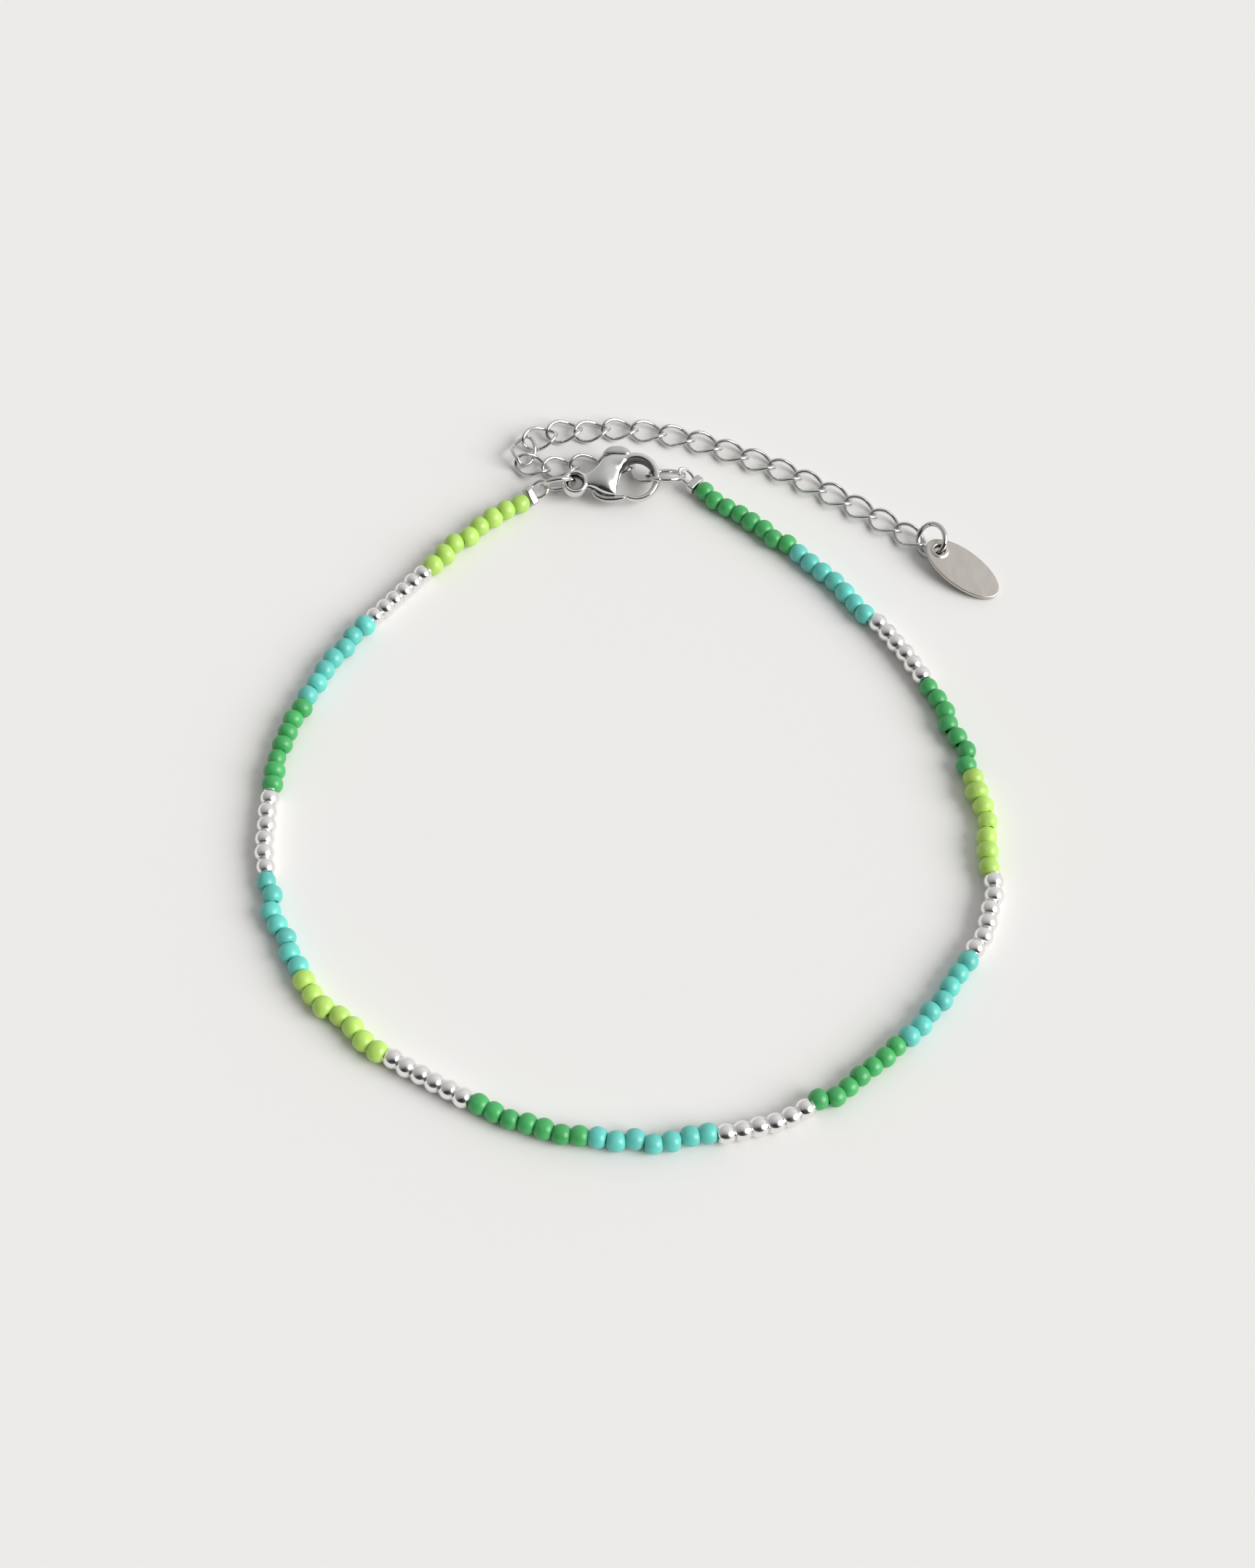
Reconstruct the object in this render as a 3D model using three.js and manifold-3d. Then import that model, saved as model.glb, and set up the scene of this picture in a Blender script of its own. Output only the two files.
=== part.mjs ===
// Beaded anklet laid out on a table: a strand of glass and silver-coloured seed beads closed by a
// lobster clasp, with an extension chain that ends in a plain oval tag.
// Millimetres, +Z up, the table at z = 0, the origin under the middle of the whole outline.

import * as THREE from 'three';
import { mergeVertices } from 'three/addons/utils/BufferGeometryUtils.js';
import Module from 'manifold-3d';

// Seed beads by kind.
const BEADS = {
  lime: { diameter: 2.08, colour: 0xa0d654, roughness: 0.45, metalness: 0 },
  silver: { diameter: 1.9, colour: 0xc9c8c5, roughness: 0.15, metalness: 1 },
  turquoise: { diameter: 2.02, colour: 0x5dc9ba, roughness: 0.45, metalness: 0 },
  green: { diameter: 1.94, colour: 0x3ea052, roughness: 0.45, metalness: 0 },
};
const BEAD_SIDES = 8;
const BEAD_NECK = 0.5; // radius where two beads meet, as a share of the bead's radius
const BEAD_END = 0.25; // length of each rounded end, as a share of the bead's length
const RUN_GAP = 0.2; // clear space between two runs

// The strand, run by run, from the clasp's eye end round to the chain end. Each run is an arc:
// length along the thread and turn to the left in degrees.
const STRAND_START = { x: -12.2, y: 32.8, heading: -145 };
const RUNS = [
  { kind: 'lime', beads: 8, length: 14.3, turn: 15.5 },
  { kind: 'silver', beads: 6, length: 8.8, turn: -2.5 },
  { kind: 'turquoise', beads: 7, length: 12.3, turn: 20.5 },
  { kind: 'green', beads: 7, length: 11.4, turn: 17 },
  { kind: 'silver', beads: 6, length: 9.7, turn: 13.5 },
  { kind: 'turquoise', beads: 7, length: 12.1, turn: 22.5 },
  { kind: 'lime', beads: 7, length: 12.5, turn: 26.5 },
  { kind: 'silver', beads: 6, length: 9.5, turn: 2 },
  { kind: 'green', beads: 7, length: 11.9, turn: 23 },
  { kind: 'turquoise', beads: 7, length: 12.2, turn: 16 },
  { kind: 'silver', beads: 6, length: 9.6, turn: 19 },
  { kind: 'green', beads: 7, length: 11.2, turn: 19 },
  { kind: 'turquoise', beads: 7, length: 12, turn: 10.5 },
  { kind: 'silver', beads: 6, length: 9.6, turn: 32.5 },
  { kind: 'lime', beads: 7, length: 12.3, turn: 12 },
  { kind: 'green', beads: 7, length: 12, turn: 15 },
  { kind: 'silver', beads: 6, length: 9.5, turn: 11 },
  { kind: 'turquoise', beads: 7, length: 12.3, turn: 9 },
  { kind: 'green', beads: 8, length: 13.1, turn: 3.5 },
];

// Crimp ends: a flattened tube pressed on the thread, with a wire loop standing out of it. The loop is
// rooted at a share of the tube's length.
const CRIMP = { gap: 0.2, length: 0.85, width: 2, height: 1.6, corner: 0.6, loopRoot: 0.75 };
const LOOP = { wire: 0.34, length: 2.65, width: 2.2 };
const CRIMP_ENDS = [
  { name: 'crimp_end_eye_side', rise: 20, roll: 0 },
  { name: 'crimp_end_chain_side', rise: 30, roll: -8 },
];

// Jump rings: centre, then tilt about X and Y and heading about Z, in degrees.
const RING_WIRE = 0.55;
const RINGS = [
  { name: 'jump_ring_eye', x: -8.67, y: 34.06, z: 2.02, outer: 4, tiltX: -69, tiltY: -2, heading: 9 },
  { name: 'jump_ring_chain', x: 3.06, y: 35.24, z: 2.03, outer: 4.6, tiltX: -51, tiltY: 3, heading: 4.5 },
  { name: 'jump_ring_tag', x: 31.69, y: 26.68, z: 1.64, outer: 4, tiltX: 32, tiltY: -39, heading: -12 },
];

// Extension chain of twisted oval links. The first links hang from the ring behind the clasp and turn
// back over themselves, each laid where it rests. The others follow one another away from the turn;
// step is the spacing to the next link along the heading.
const LINK = { length: 4.3, width: 3, wire: 0.45, twist: 45 };
const CHAIN_TURN = [
  { x: 0.48, y: 36.65, z: 1.25, heading: 143.8, roll: -37 },
  { x: -2.32, y: 37.58, z: 0.97, heading: 176.5, roll: -10 },
  { x: -5.49, y: 37.74, z: 0.76, heading: 178, roll: 0 },
  { x: -8.52, y: 37.41, z: 0.76, heading: 179, roll: 3.7 },
  { x: -11.6, y: 37.59, z: 0.81, heading: 161.3, roll: -3 },
  { x: -12.66, y: 39.63, z: 0.97, heading: 84.6, roll: 10.7 },
  { x: -10.88, y: 41.45, z: 1.01, heading: 19.6, roll: 13 },
  { x: -8.18, y: 42.53, z: 0.85, heading: 11.8, roll: 8.3 },
];
const CHAIN_RUN_START = { x: -6.53, y: 42.4, z: 0.76 };
const CHAIN_RUN = [
  { heading: 10, step: 3 },
  { heading: -3, step: 3.22 },
  { heading: -10, step: 3.22 },
  { heading: -15, step: 3.22 },
  { heading: -21, step: 3.22 },
  { heading: -24, step: 3.22 },
  { heading: -25, step: 3.22 },
  { heading: -29, step: 3.22 },
  { heading: -33, step: 3.22 },
  { heading: -33, step: 3.22 },
  { heading: -35, step: 3.22 },
  { heading: -36, step: 3.22 },
  { heading: -37, step: 3.22 },
];
const WIRE_SIDES = 6;
const WIRE_STEPS = 16;
const RING_STEPS = 20;

// Lobster clasp, in its own plane: x towards the hook, y towards the thumb knob, z out of its face.
const CLASP = { x: -0.15, y: 34.85, z: 2.1, heading: 4, tilt: 18 };
const EYE = { x: -6.66, y: -0.1, outer: 1.32, hole: 0.75, thick: 1.3 };
const HOOK = { thick: 1.1, from: 118, to: -121 };
const HOOK_OUTSIDE = { x: 0, y: -0.05, halfWidth: 2.66, halfHeight: 2.65 };
const HOOK_INSIDE = { x: 0, y: -0.2, halfWidth: 1.76, halfHeight: 1.95 };
const BODY_THICK = 2.2;
const CHEEK_THICK = 0.6;
const LEVER_THICK = 0.5;
const BEVEL = 0.12;
const PIVOT = { x: -4.1, y: -1.15, boss: 0.7 };
const KNOB_THICK = 1.9;

// Outlines in the clasp's plane. A corner with cx and cy is reached by a curve that bends towards
// that point, any other corner by a straight edge.
const NECK_OUTLINE = [
  { x: -5.71, y: -0.75 },
  { x: -5.15, y: -0.8 },
  { x: -5.15, y: 0.35 },
  { x: -5.71, y: 0.45 },
];
const CHEEK_OUTLINE = [
  { x: -5.75, y: 0.5 },
  { x: -3.9, y: 1.1, cx: -4.6, cy: 0.45 },
  { x: -2.4, y: 1.85, cx: -3.3, cy: 1.75 },
  { x: -0.95, y: 1.75 },
  { x: -1.72, y: -0.2, cx: -1.55, cy: 0.8 },
  { x: -2.3, y: -2, cx: -1.8, cy: -1.1 },
  { x: -4.4, y: -1.35, cx: -3.6, cy: -1.95 },
  { x: -5.75, y: -0.85, cx: -4.9, cy: -0.95 },
];
const HOOK_ROOT_OUTLINE = [
  { x: -1.3, y: 1.1 },
  { x: -0.8, y: 1.2 },
  { x: -0.35, y: 2.3 },
  { x: -1, y: 2.3 },
  { x: -1.35, y: 1.8 },
];
const GATE_OUTLINE = [
  { x: -1.65, y: -2.62 },
  { x: -3.5, y: -2.3, cx: -2.6, cy: -2.75 },
  { x: -4.7, y: -1.4, cx: -4.4, cy: -1.95 },
  { x: -3.6, y: -0.65 },
  { x: -1.36, y: -2.02, cx: -2.6, cy: -1.5 },
];
const ARM_OUTLINE = [
  { x: -4.6, y: -1.15 },
  { x: -3.6, y: -1.35 },
  { x: -1.7, y: 1.9, cx: -2.6, cy: 0.2 },
  { x: -1.6, y: 2.75 },
  { x: -2.5, y: 2.75 },
  { x: -4.5, y: -0.4, cx: -3.2, cy: 0.9 },
];
const KNOB_OUTLINE = [
  { x: -3.2, y: 2.25 },
  { x: -1.85, y: 3.65, cx: -2.66, cy: 3.65 },
  { x: -0.5, y: 2.85, cx: -0.77, cy: 3.65 },
  { x: -3.2, y: 2.25, cx: -1.7, cy: 2.4 },
];

// Oval tag: a flat plate with one hole, its hole end lifted on the ring.
const TAG = { x: 34.84, y: 23.26, z: 0.98, length: 9.4, width: 4.6, thick: 0.45, heading: -40, drop: 9 };
const TAG_HOLE = { fromEnd: 1.55, radius: 0.75 };

const STEEL = { colour: 0xcfcfcd, roughness: 0.18, metalness: 1 };
const SATIN_STEEL = { colour: 0xb9b5ad, roughness: 0.4, metalness: 1 };

const wasm = await Module();
wasm.setup();

const radians = THREE.MathUtils.degToRad;

function toSolid(geometry) {
  geometry.deleteAttribute('normal');
  geometry.deleteAttribute('uv');
  const merged = mergeVertices(geometry);
  const vertProperties = Float32Array.from(merged.getAttribute('position').array);
  const triVerts = Uint32Array.from(merged.getIndex().array);
  return new wasm.Manifold(new wasm.Mesh({ numProp: 3, vertProperties, triVerts }));
}

function toGeometry(solid) {
  const { vertProperties, triVerts } = solid.getMesh();
  const geometry = new THREE.BufferGeometry();
  geometry.setAttribute('position', new THREE.BufferAttribute(vertProperties, 3));
  geometry.setIndex(new THREE.BufferAttribute(triVerts, 1));
  geometry.computeVertexNormals();
  return geometry;
}

function joined(...geometries) {
  const solids = geometries.map(toSolid);
  return toGeometry(solids.reduce((whole, solid) => whole.add(solid)));
}

function namedMesh(name, geometry, finish) {
  const material = new THREE.MeshStandardMaterial({
    color: finish.colour,
    roughness: finish.roughness,
    metalness: finish.metalness,
  });
  const mesh = new THREE.Mesh(geometry, material);
  mesh.name = name;
  return mesh;
}

// Place and heading at a distance along an arc that leaves a start pose.
function poseOnArc(start, length, turn, distance) {
  const radius = length / radians(turn);
  const from = radians(start.heading);
  const to = from + distance / radius;
  return {
    x: start.x + radius * (Math.sin(to) - Math.sin(from)),
    y: start.y - radius * (Math.cos(to) - Math.cos(from)),
    heading: THREE.MathUtils.radToDeg(to),
  };
}

// A run of beads: a lathe profile with one bulge per bead, bent along the run's arc so that a flat
// side of every bead rests on the table.
function beadRunGeometry(run, start) {
  const radius = BEADS[run.kind].diameter / 2;
  const corner = radius / Math.cos(Math.PI / BEAD_SIDES);
  const neck = corner * BEAD_NECK;
  const first = RUN_GAP / 2;
  const pitch = (run.length - RUN_GAP) / run.beads;
  const profile = [new THREE.Vector2(0, first), new THREE.Vector2(neck, first)];
  for (let bead = 0; bead < run.beads; bead += 1) {
    const from = first + bead * pitch;
    profile.push(new THREE.Vector2(corner, from + BEAD_END * pitch));
    profile.push(new THREE.Vector2(corner, from + (1 - BEAD_END) * pitch));
    profile.push(new THREE.Vector2(neck, from + pitch));
  }
  profile.push(new THREE.Vector2(0, run.length - RUN_GAP / 2));
  const geometry = new THREE.LatheGeometry(profile, BEAD_SIDES, Math.PI / BEAD_SIDES);
  const position = geometry.getAttribute('position');
  for (let i = 0; i < position.count; i += 1) {
    const aside = position.getX(i);
    const pose = poseOnArc(start, run.length, run.turn, position.getY(i));
    const heading = radians(pose.heading);
    const x = pose.x + aside * Math.sin(heading);
    const y = pose.y - aside * Math.cos(heading);
    position.setXYZ(i, x, y, radius + position.getZ(i));
  }
  return geometry;
}

// A round wire bent into a closed oval and twisted about its long axis, by the given angle at the ends.
function ovalWireGeometry(length, width, wire, twist) {
  const halfLength = (length - wire) / 2;
  const halfWidth = (width - wire) / 2;
  const geometry = new THREE.TorusGeometry(1, wire / 2, WIRE_SIDES, WIRE_STEPS);
  const position = geometry.getAttribute('position');
  for (let i = 0; i < position.count; i += 1) {
    const angle = Math.atan2(position.getY(i), position.getX(i));
    const outwards = Math.hypot(position.getX(i), position.getY(i)) - 1;
    const up = position.getZ(i);
    const cos = Math.cos(angle);
    const sin = Math.sin(angle);
    const slope = Math.hypot(halfWidth * cos, halfLength * sin);
    const along = halfLength * cos + (outwards * halfWidth * cos) / slope;
    const across = halfWidth * sin + (outwards * halfLength * sin) / slope;
    const turn = -radians(twist) * cos;
    const y = across * Math.cos(turn) - up * Math.sin(turn);
    const z = across * Math.sin(turn) + up * Math.cos(turn);
    position.setXYZ(i, along, y, z);
  }
  return geometry;
}

// A crimped tube and its wire loop as one solid, x outwards along the thread from the last bead.
function crimpEndGeometry(end) {
  const across = CRIMP.width / 2 - CRIMP.corner;
  const up = CRIMP.height / 2 - CRIMP.corner;
  const section = new THREE.Shape();
  section.absarc(across, up, CRIMP.corner, 0, Math.PI / 2);
  section.absarc(-across, up, CRIMP.corner, Math.PI / 2, Math.PI);
  section.absarc(-across, -up, CRIMP.corner, Math.PI, 1.5 * Math.PI);
  section.absarc(across, -up, CRIMP.corner, 1.5 * Math.PI, 2 * Math.PI);
  const tube = new THREE.ExtrudeGeometry(section, {
    depth: CRIMP.length,
    bevelEnabled: false,
    curveSegments: 3,
  });
  tube.rotateX(Math.PI / 2).rotateZ(Math.PI / 2).translate(CRIMP.gap, 0, 0);
  const loop = ovalWireGeometry(LOOP.length, LOOP.width, LOOP.wire, 0);
  loop.translate(LOOP.length / 2 - LOOP.wire, 0, 0);
  loop.rotateX(radians(end.roll)).rotateY(-radians(end.rise));
  loop.translate(CRIMP.gap + CRIMP.length * CRIMP.loopRoot, 0, 0);
  return joined(tube, loop);
}

function plateGeometry(shape, thick, middle = 0) {
  const depth = thick - 2 * BEVEL;
  const plate = new THREE.ExtrudeGeometry(shape, {
    depth,
    bevelSize: BEVEL,
    bevelThickness: BEVEL,
    bevelOffset: -BEVEL,
    bevelSegments: 1,
    curveSegments: 8,
  });
  return plate.translate(0, 0, middle - depth / 2);
}

function outlineShape(corners) {
  const shape = new THREE.Shape();
  shape.moveTo(corners[0].x, corners[0].y);
  corners.slice(1).forEach(({ x, y, cx, cy }) => {
    if (cx === undefined) shape.lineTo(x, y);
    else shape.quadraticCurveTo(cx, cy, x, y);
  });
  return shape;
}

// Clasp body: eye, neck, two cheeks with the lever's slot between them, and the fixed hook.
function claspBodyGeometry() {
  const eye = new THREE.Shape();
  eye.absarc(EYE.x, EYE.y, EYE.outer, 0, 2 * Math.PI);
  const hole = new THREE.Path();
  hole.absarc(EYE.x, EYE.y, EYE.hole, 0, 2 * Math.PI, true);
  eye.holes.push(hole);

  const from = radians(HOOK.from);
  const to = radians(HOOK.to);
  const outer = HOOK_OUTSIDE;
  const inner = HOOK_INSIDE;
  const hook = new THREE.Shape();
  hook.absellipse(outer.x, outer.y, outer.halfWidth, outer.halfHeight, from, to, true);
  hook.absellipse(inner.x, inner.y, inner.halfWidth, inner.halfHeight, to, from, false);

  const cheek = outlineShape(CHEEK_OUTLINE);
  const cheekMiddle = (BODY_THICK - CHEEK_THICK) / 2;
  return joined(
    plateGeometry(eye, EYE.thick),
    plateGeometry(outlineShape(NECK_OUTLINE), BODY_THICK),
    plateGeometry(cheek, CHEEK_THICK, cheekMiddle),
    plateGeometry(cheek, CHEEK_THICK, -cheekMiddle),
    plateGeometry(outlineShape(HOOK_ROOT_OUTLINE), BODY_THICK),
    plateGeometry(hook, HOOK.thick),
  );
}

// Clasp lever: the gate that closes the hook, the pivot boss, the arm in the slot and the knob.
function claspLeverGeometry() {
  const boss = new THREE.Shape();
  boss.absarc(PIVOT.x, PIVOT.y, PIVOT.boss, 0, 2 * Math.PI);
  return joined(
    plateGeometry(outlineShape(GATE_OUTLINE), LEVER_THICK),
    plateGeometry(boss, LEVER_THICK),
    plateGeometry(outlineShape(ARM_OUTLINE), LEVER_THICK),
    plateGeometry(outlineShape(KNOB_OUTLINE), KNOB_THICK),
  );
}

function tagGeometry() {
  const oval = new THREE.Shape();
  oval.absellipse(0, 0, TAG.length / 2, TAG.width / 2, 0, 2 * Math.PI);
  const hole = new THREE.Path();
  hole.absarc(TAG_HOLE.fromEnd - TAG.length / 2, 0, TAG_HOLE.radius, 0, 2 * Math.PI, true);
  oval.holes.push(hole);
  const plate = new THREE.ExtrudeGeometry(oval, {
    depth: TAG.thick,
    bevelEnabled: false,
    curveSegments: 16,
  });
  return plate.translate(0, 0, -TAG.thick / 2);
}

const anklet = new THREE.Group();

// Beads, run after run along the thread.
let pose = STRAND_START;
RUNS.forEach((run, index) => {
  const name = `bead_run_${String(index + 1).padStart(2, '0')}_${run.kind}`;
  anklet.add(namedMesh(name, beadRunGeometry(run, pose), BEADS[run.kind]));
  pose = poseOnArc(pose, run.length, run.turn, run.length);
});
const strandEnd = pose;

// Crimp ends, pointing out of the two ends of the strand.
const crimpPoses = [{ ...STRAND_START, heading: STRAND_START.heading + 180 }, strandEnd];
CRIMP_ENDS.forEach((end, index) => {
  const crimp = namedMesh(end.name, crimpEndGeometry(end), STEEL);
  const place = crimpPoses[index];
  crimp.position.set(place.x, place.y, CRIMP.height / 2 + CRIMP.gap);
  crimp.rotation.z = radians(place.heading);
  anklet.add(crimp);
});

// Jump rings.
RINGS.forEach((ring) => {
  const torus = new THREE.TorusGeometry((ring.outer - RING_WIRE) / 2, RING_WIRE / 2, WIRE_SIDES, RING_STEPS);
  const mesh = namedMesh(ring.name, torus, STEEL);
  mesh.position.set(ring.x, ring.y, ring.z);
  mesh.rotation.set(radians(ring.tiltX), radians(ring.tiltY), radians(ring.heading), 'ZYX');
  anklet.add(mesh);
});

// Chain links.
function addLink(number, place, heading, roll) {
  const wire = ovalWireGeometry(LINK.length, LINK.width, LINK.wire, LINK.twist);
  const mesh = namedMesh(`chain_link_${String(number).padStart(2, '0')}`, wire, STEEL);
  mesh.position.copy(place);
  mesh.rotation.set(radians(roll), 0, radians(heading), 'ZYX');
  anklet.add(mesh);
}

CHAIN_TURN.forEach((link, index) => addLink(index + 1, link, link.heading, link.roll));

const knuckle = new THREE.Vector3().copy(CHAIN_RUN_START);
CHAIN_RUN.forEach((link, index) => {
  const along = radians(link.heading);
  const half = new THREE.Vector3(Math.cos(along), Math.sin(along), 0).multiplyScalar(link.step / 2);
  addLink(CHAIN_TURN.length + index + 1, knuckle.add(half), link.heading, 0);
  knuckle.add(half);
});

// Clasp, lying with its knob side lifted on the chain.
const clasp = new THREE.Group();
clasp.position.set(CLASP.x, CLASP.y, CLASP.z);
clasp.rotation.set(radians(CLASP.tilt), 0, radians(CLASP.heading), 'ZYX');
clasp.add(namedMesh('clasp_body', claspBodyGeometry(), STEEL));
clasp.add(namedMesh('clasp_lever', claspLeverGeometry(), STEEL));
anklet.add(clasp);

// Oval tag.
const tag = namedMesh('oval_tag', tagGeometry(), SATIN_STEEL);
tag.position.set(TAG.x, TAG.y, TAG.z);
tag.rotation.set(0, radians(TAG.drop), radians(TAG.heading), 'ZYX');
anklet.add(tag);

export default anklet;
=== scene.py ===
import math
import random

import bmesh
import bpy
from mathutils import Matrix, Vector, noise


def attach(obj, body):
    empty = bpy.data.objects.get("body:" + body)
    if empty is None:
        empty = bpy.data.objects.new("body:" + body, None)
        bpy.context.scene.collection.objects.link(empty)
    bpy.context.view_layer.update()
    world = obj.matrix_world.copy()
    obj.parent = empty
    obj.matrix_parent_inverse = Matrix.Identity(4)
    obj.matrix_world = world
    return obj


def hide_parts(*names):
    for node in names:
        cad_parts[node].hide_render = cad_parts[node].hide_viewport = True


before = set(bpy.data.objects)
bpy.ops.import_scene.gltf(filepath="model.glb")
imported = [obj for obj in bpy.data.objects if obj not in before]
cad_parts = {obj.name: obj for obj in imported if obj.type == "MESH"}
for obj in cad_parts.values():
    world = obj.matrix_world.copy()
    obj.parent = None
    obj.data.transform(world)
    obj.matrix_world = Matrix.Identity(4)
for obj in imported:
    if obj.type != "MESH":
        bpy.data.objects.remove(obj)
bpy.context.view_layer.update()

MM = 0.001  # shapes are drawn in millimetres, and the frame is in metres

# Glass seed beads: small opaque beads cut from drawn glass tube and tumbled until their ends are round,
# threaded in runs of one colour. No two are quite alike in size, lie or shade.
STRAND_START = (-12.2, 32.8, -145)  # mm, mm, degrees
RUNS = [  # kind, beads, length in mm, turn to the left in degrees
    ("lime", 8, 14.3, 15.5),
    ("silver", 6, 8.8, -2.5),
    ("turquoise", 7, 12.3, 20.5),
    ("green", 7, 11.4, 17),
    ("silver", 6, 9.7, 13.5),
    ("turquoise", 7, 12.1, 22.5),
    ("lime", 7, 12.5, 26.5),
    ("silver", 6, 9.5, 2),
    ("green", 7, 11.9, 23),
    ("turquoise", 7, 12.2, 16),
    ("silver", 6, 9.6, 19),
    ("green", 7, 11.2, 19),
    ("turquoise", 7, 12, 10.5),
    ("silver", 6, 9.6, 32.5),
    ("lime", 7, 12.3, 12),
    ("green", 7, 12, 15),
    ("silver", 6, 9.5, 11),
    ("turquoise", 7, 12.3, 9),
    ("green", 8, 13.1, 3.5),
]
GLASS = {  # kind: diameter in mm, linear colour
    "lime": (2.14, (0.435, 0.675, 0.128)),
    "turquoise": (2.1, (0.112, 0.528, 0.462)),
    "green": (2.05, (0.051, 0.384, 0.104)),
}
GLASS_HOLE = 0.34  # radius of the thread hole, mm
GLASS_LENGTH = 1.07  # usual length as a share of the pitch: neighbours press into each other's ends
GLASS_LONGEST = 1.12
GLASS_ASIDE_MOST = 0.36  # mm off the thread's line
GLASS_SPREAD = {"radius": 0.04, "length": 0.03, "aside": 0.22, "heading": 7, "tilt": 5}
GLASS_LUMPS = {"depth": 0.022, "scale": 0.9}
GLASS_SIDES = 28
GLASS_STEPS = 18
BEAD_SEED = 11


def shader_group(name, inputs, outputs):
    group = bpy.data.node_groups.new(name, "ShaderNodeTree")
    for socket, kind in inputs:
        group.interface.new_socket(socket, in_out="INPUT", socket_type=kind)
    for socket, kind in outputs:
        group.interface.new_socket(socket, in_out="OUTPUT", socket_type=kind)
    entry = group.nodes.new("NodeGroupInput")
    leave = group.nodes.new("NodeGroupOutput")
    return group, entry, leave


def principled(name):
    material = bpy.data.materials.new(name)
    material.use_nodes = True
    return material, material.node_tree.nodes["Principled BSDF"]


def add_group(material, shader, group, targets):
    """Puts a node group in a material and wires its outputs to the shader's inputs."""
    node = material.node_tree.nodes.new("ShaderNodeGroup")
    node.node_tree = group
    for output, target in targets.items():
        material.node_tree.links.new(node.outputs[output], shader.inputs[target])
    return node


def add_piece(bm, name, node, body, material):
    """Turns a mesh in millimetres into a piece that stands for a CAD node and rides its body."""
    bmesh.ops.recalc_face_normals(bm, faces=bm.faces)
    bm.transform(Matrix.Scale(MM, 4))
    mesh = bpy.data.meshes.new(name)
    bm.to_mesh(mesh)
    bm.free()
    mesh.shade_smooth()
    mesh.materials.append(material)
    piece = bpy.data.objects.new(name, mesh)
    bpy.context.scene.collection.objects.link(piece)
    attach(piece, body)
    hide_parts(node)
    return piece


def skin(bm, rings, around=True):
    """Quads between rings of vertices; around also joins the last ring to the first."""
    count = len(rings) if around else len(rings) - 1
    for index in range(count):
        ring = rings[index]
        after = rings[(index + 1) % len(rings)]
        for side in range(len(ring)):
            beside = (side + 1) % len(ring)
            bm.faces.new((ring[side], ring[beside], after[beside], after[side]))


def lathe(bm, profile, sides, place):
    """A surface turned about x from a closed loop of (x, radius) points."""
    rings = []
    for x, radius in profile:
        ring = []
        for side in range(sides):
            angle = 2 * math.pi * side / sides
            point = Vector((x, radius * math.cos(angle), radius * math.sin(angle)))
            ring.append(bm.verts.new(place @ point))
        rings.append(ring)
    skin(bm, rings)
    return [vert for ring in rings for vert in ring]


def arc_pose(start, length, turn, distance):
    """Place and heading, in degrees, at a distance along an arc."""
    x, y, heading = start
    radius = length / math.radians(turn)
    before = math.radians(heading)
    after = before + distance / radius
    return (
        x + radius * (math.sin(after) - math.sin(before)),
        y - radius * (math.cos(after) - math.cos(before)),
        math.degrees(after),
    )


glaze, entry, leave = shader_group(
    "bead_glaze",
    [("Colour", "NodeSocketColor")],
    [("Colour", "NodeSocketColor"), ("Roughness", "NodeSocketFloat"), ("Normal", "NodeSocketVector")],
)
place = glaze.nodes.new("ShaderNodeTexCoord")
tint = glaze.nodes.new("ShaderNodeAttribute")
tint.attribute_name = "tint"
cloud = glaze.nodes.new("ShaderNodeTexNoise")
cloud.inputs["Scale"].default_value = 900
cloud.inputs["Detail"].default_value = 3
shade = glaze.nodes.new("ShaderNodeMath")
shade.operation = "MULTIPLY_ADD"
shade.inputs[1].default_value = 0.28
spread = glaze.nodes.new("ShaderNodeMapRange")
spread.inputs["To Min"].default_value = 0.78
spread.inputs["To Max"].default_value = 0.98
tone = glaze.nodes.new("ShaderNodeHueSaturation")
rough = glaze.nodes.new("ShaderNodeMapRange")
rough.inputs["To Min"].default_value = 0.3
rough.inputs["To Max"].default_value = 0.46
pits = glaze.nodes.new("ShaderNodeTexNoise")
pits.inputs["Scale"].default_value = 3800
pits.inputs["Detail"].default_value = 4
bump = glaze.nodes.new("ShaderNodeBump")
bump.inputs["Strength"].default_value = 0.12
bump.inputs["Distance"].default_value = 0.0001
for a, b in [
    (place.outputs["Object"], cloud.inputs["Vector"]),
    (place.outputs["Object"], pits.inputs["Vector"]),
    (tint.outputs["Fac"], spread.inputs["Value"]),
    (cloud.outputs["Fac"], shade.inputs[0]),
    (spread.outputs["Result"], shade.inputs[2]),
    (shade.outputs["Value"], tone.inputs["Value"]),
    (entry.outputs["Colour"], tone.inputs["Color"]),
    (cloud.outputs["Fac"], rough.inputs["Value"]),
    (pits.outputs["Fac"], bump.inputs["Height"]),
    (tone.outputs["Color"], leave.inputs["Colour"]),
    (rough.outputs["Result"], leave.inputs["Roughness"]),
    (bump.outputs["Normal"], leave.inputs["Normal"]),
]:
    glaze.links.new(a, b)

glass = {}
for kind, (_, colour) in GLASS.items():
    glass[kind], shader = principled(kind + "_glass")
    shader.inputs["Specular IOR Level"].default_value = 0.65
    shader.inputs["Subsurface Weight"].default_value = 0.15
    shader.inputs["Subsurface Radius"].default_value = (0.3, 0.3, 0.3)
    shader.inputs["Subsurface Scale"].default_value = 0.001
    node = add_group(
        glass[kind],
        shader,
        glaze,
        {"Colour": "Base Color", "Roughness": "Roughness", "Normal": "Normal"},
    )
    node.inputs["Colour"].default_value = (*colour, 1)

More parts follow.
